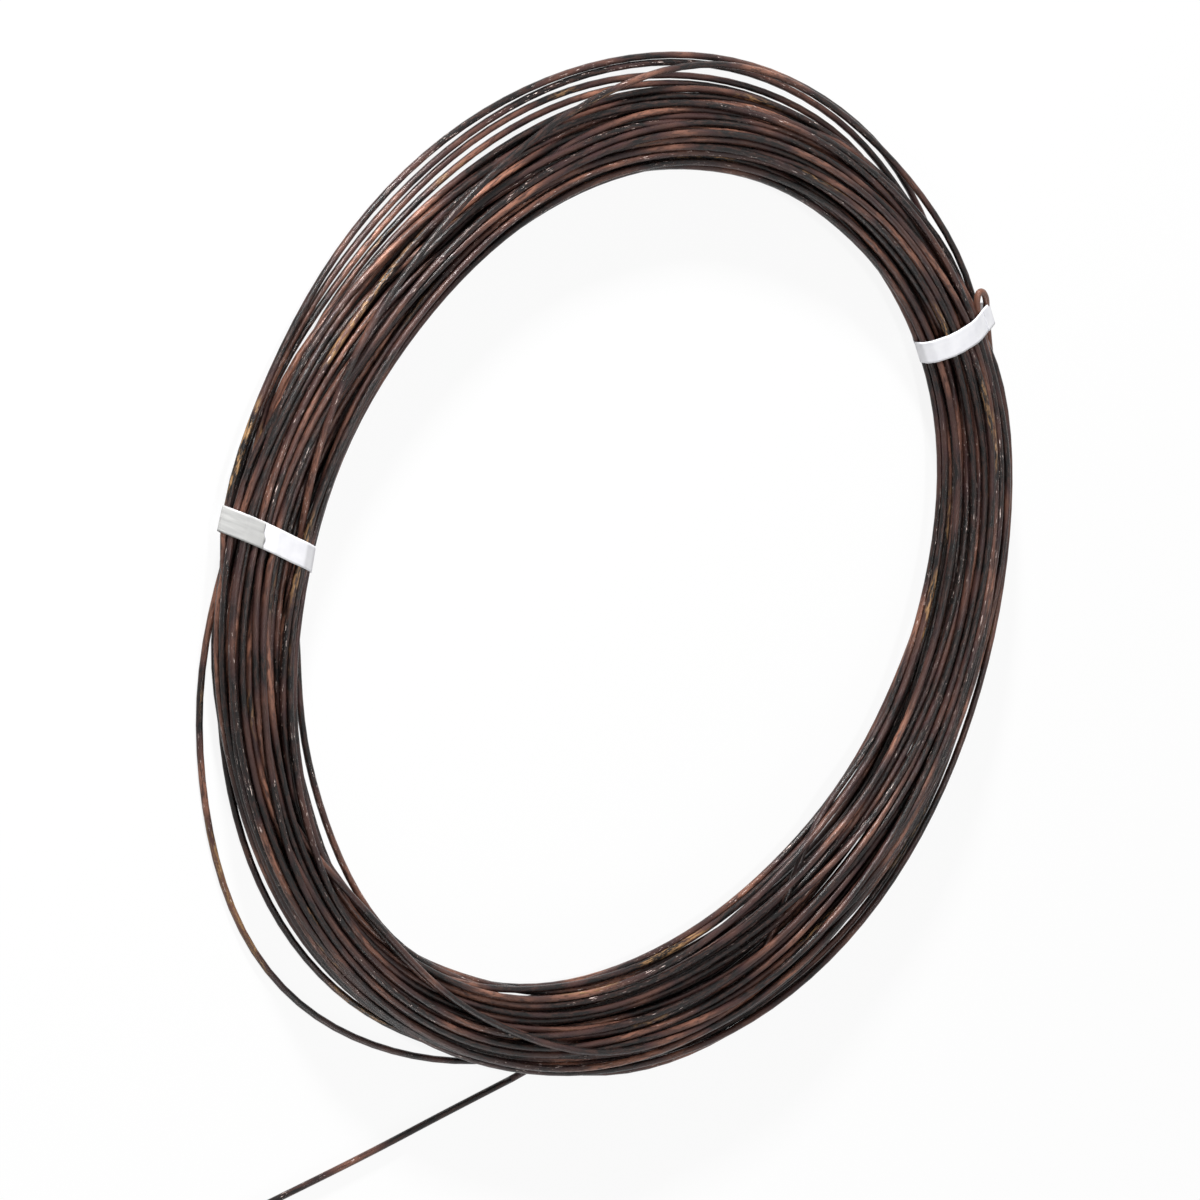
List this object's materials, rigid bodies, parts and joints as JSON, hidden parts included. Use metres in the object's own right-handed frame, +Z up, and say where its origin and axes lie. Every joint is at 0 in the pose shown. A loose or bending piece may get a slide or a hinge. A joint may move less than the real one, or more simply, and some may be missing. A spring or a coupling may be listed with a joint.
{
  "type": "coil of copper wire",
  "caption": "Coil of dark annealed copper wire wound flat, held by bands of white tape, with loose wire sprung out of the winding and a bare free end laid on the floor.",
  "frame": {"origin": "on the coil's axis at the floor it lies on", "axes": "+Z up along the coil's axis; -Y is the near side, where the left tape crosses the winding"},
  "size_m": [0.3594, 0.3064, 0.0154],
  "materials": {
    "copper_wire": "dark heat-oxidised copper, satin, black to red-brown in stretches",
    "white_tape": "plain white tape, matte"
  },
  "bodies": {
    "root": {"wire_coil": "copper_wire", "wire_tail": "copper_wire", "left_tape": "white_tape", "right_tape": "white_tape"}
  },
  "joints": []
}
